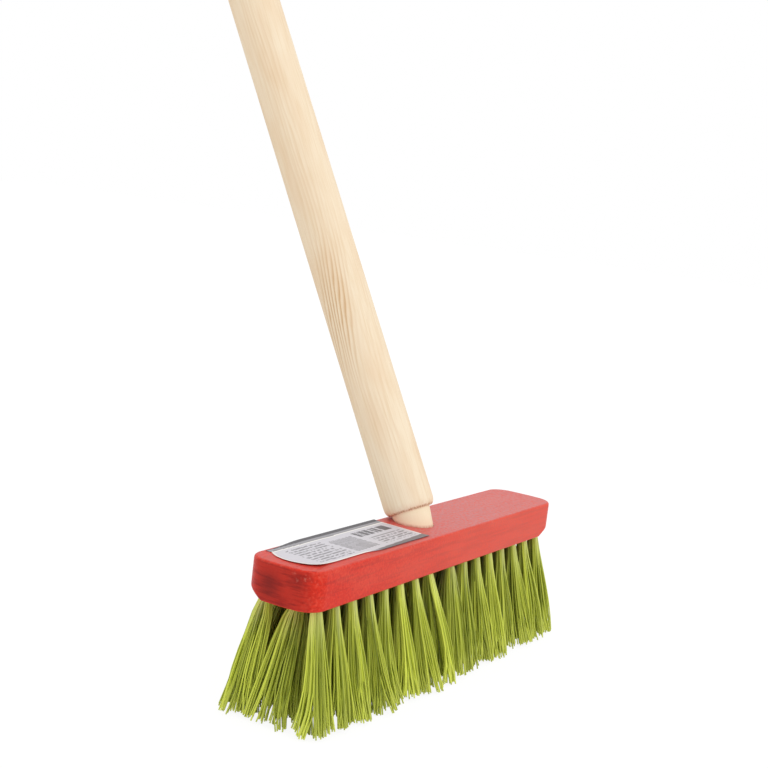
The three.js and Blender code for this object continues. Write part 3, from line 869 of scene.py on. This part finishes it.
# %% Make the label sheet
SHEET_STEP = 0.4
SHEET_THICKNESS = 0.14
SHEET_RIGHT = 84.4
SHEET_SLANT = 0.094
LEFT_RADIUS = 17.0
LEFT_CENTRE = (10.6, 13.3)
LEFT_CORNER = -1.0
RIM_WIDTH = 0.8

label_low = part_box("paper_label")[0]
columns = round((SHEET_RIGHT - LEFT_CENTRE[0] + LEFT_RADIUS) / SHEET_STEP)
rows = round((BACK_EDGE[1] - FRONT_EDGE[1]) / SHEET_STEP)
sheet_points = []
inks = []
bands = []
rims = []
for row in range(rows + 1):
    level = FRONT_EDGE[0] + (BACK_EDGE[0] - FRONT_EDGE[0]) * row / rows
    left = LEFT_CENTRE[0] - math.sqrt(LEFT_RADIUS ** 2 - (level - LEFT_CENTRE[1]) ** 2)
    left = min(left, LEFT_CORNER)
    right_end = SHEET_RIGHT + SHEET_SLANT * level
    for along in np.linspace(left, right_end, columns + 1).tolist():
        front, back = sheet_edges(along)
        across = front + (back - front) * row / rows
        ink, band = printed(max(along, 0.0), across)
        to_edge = min(along - left, across - front, right_end - along, abs(across - PANEL_BACK))
        height = SHEET_THICKNESS + sheet_lift(along, across, left)
        sheet_points.append((label_low.x + along * MM, label_low.y + across * MM,
                             block_high.z + height * MM))
        inks.append(ink)
        bands.append(band)
        rims.append(float(to_edge < RIM_WIDTH and band == 0))
wide = columns + 1
sheet_faces = [(at, at + 1, at + 1 + wide, at + wide) for row in range(rows)
               for at in range(row * wide, row * wide + columns)]
label_mesh = bpy.data.meshes.new("paper_label_sheet")
label_mesh.from_pydata(sheet_points, [], sheet_faces)
for kept_name, values in {"ink": inks, "band": bands, "rim": rims}.items():
    label_mesh.attributes.new(kept_name, "FLOAT", "POINT").data.foreach_set("value", values)
label = placed("paper_label_sheet", label_mesh)
body = label.modifiers.new("paper_body", "SOLIDIFY")
body.thickness = SHEET_THICKNESS * MM
body.offset = -1.0
smooth_below(label_mesh, CREASE)
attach(label, "head")
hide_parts("paper_label")
print("label:", columns, "by", rows, "squares")

# %% Printed paper
# Real paper fibres are too fine to show, so a soft mottle as wide as PAPER_FIBRE stands for them
PAPER_WHITE = "d3d0d7"
RIM_WHITE = "f5f2ec"
GREY_INK = "66646a"
BAND_INK = "47454b"
PAPER_FIBRE = 0.6 * MM
PAPER_RELIEF = 0.05 * MM
PAPER_ROUGH = (0.38, 0.52)
PAPER_IOR = 1.5

label_paper = bpy.data.materials.new("printed_label_paper")
tree = empty_tree(label_paper)
paper_noise = add(tree, "TexNoise", {"Vector": add(tree, "TexCoord")["Object"], "Scale": 1 / PAPER_FIBRE})
paper_colour = linear(PAPER_WHITE)
for kept_name, colour in (("ink", GREY_INK), ("rim", RIM_WHITE), ("band", BAND_INK)):
    amount = add(tree, "Attribute", attribute_name=kept_name)
    paper_colour = add(tree, "Mix", {0: amount["Fac"], UNDER: paper_colour, OVER: linear(colour)},
                       data_type="RGBA")[MIXED]
paper_rough = add(tree, "MapRange", {0: paper_noise["Fac"], TO: PAPER_ROUGH})
paper_relief = add(tree, "Bump", {"Height": paper_noise["Fac"], "Strength": 0.1, "Distance": PAPER_RELIEF})
paper = add(tree, "BsdfPrincipled", {"Base Color": paper_colour, "Roughness": paper_rough[0],
                                     "IOR": PAPER_IOR, "Normal": paper_relief[0]})
add(tree, "OutputMaterial", {"Surface": paper[0]})
label_mesh.materials.append(label_paper)
print("label paper:", len(tree.nodes), "nodes")

# %% [markdown]
# ## Bristle tufts
#
# Each hole holds a bunch of plastic filaments, folded in the middle and pinned by a staple, so twice as
# many ends come out. They leave the hole tightly packed, stay narrow for a while, fan out, cling together
# in small locks and end raggedly. Hair particles could draw them, but they would not export as meshes. So
# every filament is a thin closed tube along its own curve, and a whole row is one mesh, built with arrays.
# Tufts lean outwards, most at the ends of the rows, and those beside the middle lean in over the wide gap
# there. The end tufts of the middle row fan out widest, because nothing stands beside them.

# %% Where a tuft stands and leans
TIP_REACH = 105.0 * MM
ROW_SWEEP = 1.0 * MM
MIDDLE_CLOSE = 2.5 * MM
MIDDLE_TIP = 4.5 * MM
MIDDLE_GROWTH = 6
LEAN_GROWTH = 1.5
ROW_SPLAY = 8.8 * MM
CORNER_SPLAY = -2.0 * MM
CORNER_GROWTH = 3


def row_side(spot):
    """-1 for the front row, 0 for the middle row and 1 for the back row."""
    return 0 if abs(spot.y) < HOLE_RADIUS else math.copysign(1, spot.y)


def row_reach(row_spots):
    """How far a row's innermost and outermost tufts stand from the middle."""
    reaches = [abs(spot.x) for spot in row_spots]
    return min(reaches), max(reaches)


def end_share(spot, row_spots):
    """0 for a row's innermost tuft and 1 for its outermost."""
    first, last = row_reach(row_spots)
    return (abs(spot.x) - first) / (last - first)


def tuft_lean(spot, row_spots):
    """How far the tips of a tuft lie from the point under its hole."""
    first, last = row_reach(row_spots)
    share = end_share(spot, row_spots)
    away = (TIP_REACH - last + MIDDLE_CLOSE) * share ** LEAN_GROWTH - MIDDLE_CLOSE
    away -= (first - MIDDLE_CLOSE - MIDDLE_TIP) * (1 - share) ** MIDDLE_GROWTH
    splay = ROW_SPLAY + CORNER_SPLAY * share ** CORNER_GROWTH
    along = math.copysign(1, spot.x) * away - row_side(spot) * ROW_SWEEP
    return np.array([along, row_side(spot) * splay])


front_spots = tuft_places("front")
print("first front tuft leans, in mm:", (tuft_lean(front_spots[0], front_spots) / MM).round(1).tolist())

# %% Curves of one tuft
FILAMENTS = 128
LOCKS = 9
FILAMENT_STEPS = 7
FILAMENT_INSIDE = 3.0 * MM
RIM_CROWD = 0.42
ROOT_REACH = 2.15 * MM
FAN_REACH = Vector((9.6, 9.4)) * MM
FAN_UNEVEN = 0.1
FAN_CHANGES = (0.0, 0.2, 0.8, 1.0)  # from a row's innermost tuft to its outermost
FAN_CURVE = (0.85, 1.7, 1.3, 0.6)  # there, a power above 1 fans out late and one below 1 at once
FRONT_CURVE = (0.85, 1.7, 1.3, 1.0)
END_WIDE = 0.3
LOCK_CLING = 0.36
LOCK_UNEVEN = 0.8 * MM
LOCK_TONE = 0.35
LOCK_RAGGED = 1.8 * MM
TIP_RAGGED = 1.8 * MM
LOCK_BEND = 1.9 * MM
FILAMENT_BEND = 1.3 * MM
LEAN_UNEVEN = 0.7 * MM
GOLDEN_TURN = math.pi * (3 - math.sqrt(5))


def filament_curves(spot, row_spots, chance):
    """A tuft's centre lines, by filament, step and coordinate, each one's depth inside, and its tone."""
    index = np.arange(FILAMENTS)
    spread = ((index + 0.5) / FILAMENTS) ** RIM_CROWD
    turn = index * GOLDEN_TURN + chance.uniform(0, 2 * math.pi)
    out = spread[:, None] * np.stack([np.cos(turn), np.sin(turn)], axis=1)
    hole = np.array([spot.x, spot.y])
    root = hole + ROOT_REACH * out
    lean = tuft_lean(spot, row_spots) + chance.normal(0, LEAN_UNEVEN, 2)
    wide = END_WIDE * end_share(spot, row_spots) ** CORNER_GROWTH if row_side(spot) == 0 else 0
    fan_reach = np.array(FAN_REACH) * np.array([1, 1 + wide])
    loose = fan_reach * (out + chance.normal(0, FAN_UNEVEN, out.shape))
    leaders = loose[chance.choice(FILAMENTS, LOCKS, replace=False)]
    lock = np.linalg.norm(loose[:, None] - leaders[None], axis=2).argmin(axis=1)
    fan = loose + LOCK_CLING * (leaders[lock] - loose) + chance.normal(0, LOCK_UNEVEN, (LOCKS, 2))[lock]
    low = cad_low.z + chance.uniform(0, LOCK_RAGGED, LOCKS)[lock] + chance.uniform(0, TIP_RAGGED, FILAMENTS)
    bend = chance.normal(0, LOCK_BEND, (LOCKS, 2))[lock] + chance.normal(0, FILAMENT_BEND, (FILAMENTS, 2))
    share = np.linspace(0, 1, FILAMENT_STEPS)
    row_curve = FRONT_CURVE if row_side(spot) < 0 else FAN_CURVE
    curve = np.interp(end_share(spot, row_spots), FAN_CHANGES, row_curve)
    plan = root[:, None] + (fan - ROOT_REACH * out)[:, None] * (share ** curve)[None, :, None]
    plan += lean * share[None, :, None] + bend[:, None] * (np.sin(math.pi * share) * share)[None, :, None]
    height = block_low.z + (low - block_low.z)[:, None] * share[None]
    inside = np.concatenate([root, np.full((FILAMENTS, 1), block_low.z + FILAMENT_INSIDE)], axis=1)
    curves = np.concatenate([inside[:, None], np.concatenate([plan, height[:, :, None]], axis=2)], axis=1)
    shown = np.full(FILAMENTS, -1.0) if row_side(spot) == 0 else row_side(spot) * out[:, 1]
    if end_share(spot, row_spots) == 1:
        shown = np.maximum(shown, math.copysign(1, spot.x) * out[:, 0])
    tone = chance.uniform(0, 1, LOCKS)[lock] * LOCK_TONE + chance.uniform(0, 1 - LOCK_TONE, FILAMENTS)
    return curves, (1 - shown) / 2, tone


print("a tuft has", FILAMENTS, "filaments in", LOCKS, "locks")

# %% Tubes round the curves
FILAMENT_RADIUS = 0.32 * MM
FILAMENT_SIDES = 5


def tubes(curves):
    """Points of closed tubes round the curves, and the faces of one tube."""
    ahead = np.gradient(curves, axis=1)
    ahead /= np.linalg.norm(ahead, axis=2, keepdims=True)
    side = np.array([1.0, 0.0, 0.0]) - ahead[..., :1] * ahead
    side /= np.linalg.norm(side, axis=2, keepdims=True)
    other = np.cross(ahead, side)
    turns = np.arange(FILAMENT_SIDES) * 2 * math.pi / FILAMENT_SIDES
    ring = (np.cos(turns)[:, None] * side[:, :, None] + np.sin(turns)[:, None] * other[:, :, None])
    points = curves[:, :, None] + FILAMENT_RADIUS * ring
    steps = curves.shape[1]
    faces = [(at * FILAMENT_SIDES + turn, at * FILAMENT_SIDES + (turn + 1) % FILAMENT_SIDES,
              (at + 1) * FILAMENT_SIDES + (turn + 1) % FILAMENT_SIDES, (at + 1) * FILAMENT_SIDES + turn)
             for at in range(steps - 1) for turn in range(FILAMENT_SIDES)]
    last = (steps - 1) * FILAMENT_SIDES
    caps = [tuple(reversed(range(FILAMENT_SIDES))), tuple(range(last, last + FILAMENT_SIDES))]
    return points.reshape(len(curves), -1, 3), faces + caps


print("each filament has", (FILAMENT_STEPS + 1) * FILAMENT_SIDES, "points")

# %% Build the four runs of tufts
BRISTLE_SEED = 374
FILAMENT_CREASE = 80
RUNS = {
    "bristles_front_row": front_spots,
    "bristles_middle_left": [spot for spot in tuft_places("middle") if spot.x < 0],
    "bristles_middle_right": [spot for spot in tuft_places("middle") if spot.x > 0],
    "bristles_back_row": tuft_places("back"),
}
chance = np.random.default_rng(BRISTLE_SEED)
lime_bristle = bpy.data.materials.new("lime_extruded_filament")
for node_name, spots in RUNS.items():
    tufts = [filament_curves(spot, spots, chance) for spot in spots]
    curves, deep, tone = [np.concatenate(parts) for parts in zip(*tufts)]
    points, tube_faces = tubes(curves)
    size = points.shape[1]
    faces = [tuple(corner + size * tube for corner in face)
             for tube in range(len(points)) for face in tube_faces]
    run_mesh = bpy.data.meshes.new(node_name + "_filaments")
    run_mesh.from_pydata(points.reshape(-1, 3).tolist(), [], faces)
    steps_down = np.repeat(np.linspace(0, 1, FILAMENT_STEPS + 1), FILAMENT_SIDES)
    kept = {"tone": np.repeat(tone, size), "drop": np.tile(steps_down, len(points)),
            "deep": np.repeat(deep, size)}
    for kept_name, values in kept.items():
        run_mesh.attributes.new(kept_name, "FLOAT", "POINT").data.foreach_set("value", values)
    smooth_below(run_mesh, FILAMENT_CREASE)
    run_mesh.materials.append(lime_bristle)
    run = placed(node_name + "_filaments", run_mesh)
    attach(run, "head")
    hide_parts(node_name)
    print(node_name, "has", len(points), "filaments and", len(faces), "faces")

# %% [markdown]
# ## Lime bristle plastic
#
# The filaments are extruded from coloured plastic, so they are smooth, a little glossy, and not quite
# alike: each one has its own tone, and the cut tips are paler. On a row's outer side the roots get a
# painted highlight, and deep between the rows they get painted shade. A filament could get its colour by
# its place in the room, but its neighbour would then get the same one. So tone, distance from the root and
# depth between the rows are stored with the mesh and only mixed here.

# %% Lime filament
DARK_LIME = "6c7a12"
LIGHT_LIME = "f0fa62"
TIP_LIME = "e4ec72"
# Painted shade deep between the rows, near the roots
SHADE_LIME = "39410f"
# A painted highlight on the roots on a row's outer side
HIGHLIGHT_LIME = "f2f6a8"
TIP_STRETCH = (0.8, 1.0)  # stretches are shares of a filament's length, from its root
TIP_MOST = 0.4
DEEP_STRETCH = (0.2, 0.8)
DEEP_SHADE = 0.9
OUTER_SIDE = (0.22, 0.04)
HIGHLIGHT_STRETCH = (0.45, 0.15)
HIGHLIGHT_MOST = 0.5
FILAMENT_ROUGH = (0.32, 0.46)
FILAMENT_SHINE = 0.3
PLASTIC_IOR = 1.49

tree = empty_tree(lime_bristle)
tone = add(tree, "Attribute", attribute_name="tone")
drop = add(tree, "Attribute", attribute_name="drop")
deep = add(tree, "Attribute", attribute_name="deep")
tip_amount = add(tree, "MapRange", {0: drop["Fac"], FROM: TIP_STRETCH, TO: (0.0, TIP_MOST)})
# Painted shade near the roots, strongest deep between the rows
near_root = add(tree, "MapRange", {0: drop["Fac"], FROM: DEEP_STRETCH, TO: (DEEP_SHADE, 0.0)})
painted_light_amount = add(tree, "Math", {0: near_root[0], 1: deep["Fac"]}, operation="MULTIPLY")
# A painted highlight near the roots on a row's outer side
outer_side = add(tree, "MapRange", {0: deep["Fac"], FROM: OUTER_SIDE})
root_highlight = add(tree, "MapRange", {0: drop["Fac"], FROM: HIGHLIGHT_STRETCH, TO: (0.0, HIGHLIGHT_MOST)})
highlight_amount = add(tree, "Math", {0: outer_side[0], 1: root_highlight[0]}, operation="MULTIPLY")
lime_colour = linear(DARK_LIME)
for amount, colour in ((tone["Fac"], LIGHT_LIME), (highlight_amount[0], HIGHLIGHT_LIME), (tip_amount[0], TIP_LIME),
                       (painted_light_amount[0], SHADE_LIME)):
    lime_colour = add(tree, "Mix", {0: amount, UNDER: lime_colour, OVER: linear(colour)},
                      data_type="RGBA")[MIXED]
filament_rough = add(tree, "MapRange", {0: tone["Fac"], TO: FILAMENT_ROUGH})
filament = add(tree, "BsdfPrincipled", {"Base Color": lime_colour, "Roughness": filament_rough[0],
                                        "IOR": PLASTIC_IOR, "Specular IOR Level": FILAMENT_SHINE})
add(tree, "OutputMaterial", {"Surface": filament[0]})
print("filament:", len(tree.nodes), "nodes")

# %% [markdown]
# ## Steel staples
#
# The staples sit deep in the holes and are cut from flat drawn wire. They could be built again with finer
# edges, but nobody sees them without pulling out a tuft, and their solids are already right. So they stay
# and only get the look of drawn steel: grey metal with a fine mottle of brighter and duller spots.

# %% Drawn steel wire for the staples
STEEL = "a4a6a8"
DULL_STEEL = "7d7f82"
MOTTLE_SIZE = 0.12 * MM
STEEL_ROUGH = (0.3, 0.5)

steel = bpy.data.materials.new("drawn_steel_wire")
tree = empty_tree(steel)
mottle = add(tree, "TexNoise", {"Vector": add(tree, "TexCoord")["Object"], "Scale": 1 / MOTTLE_SIZE})
steel_colour = add(tree, "Mix", {0: mottle["Fac"], UNDER: linear(STEEL), OVER: linear(DULL_STEEL)},
                   data_type="RGBA")[MIXED]
steel_rough = add(tree, "MapRange", {0: mottle["Fac"], TO: STEEL_ROUGH})
wire = add(tree, "BsdfPrincipled", {"Base Color": steel_colour, "Metallic": 1.0,
                                    "Roughness": steel_rough[0]})
add(tree, "OutputMaterial", {"Surface": wire[0]})
staples = [node for name, node in frame["nodes"].items() if name.startswith("staple_")]
for staple in staples:
    staple.data.materials.clear()
    staple.data.materials.append(steel)
print("steel on", len(staples), "staples")
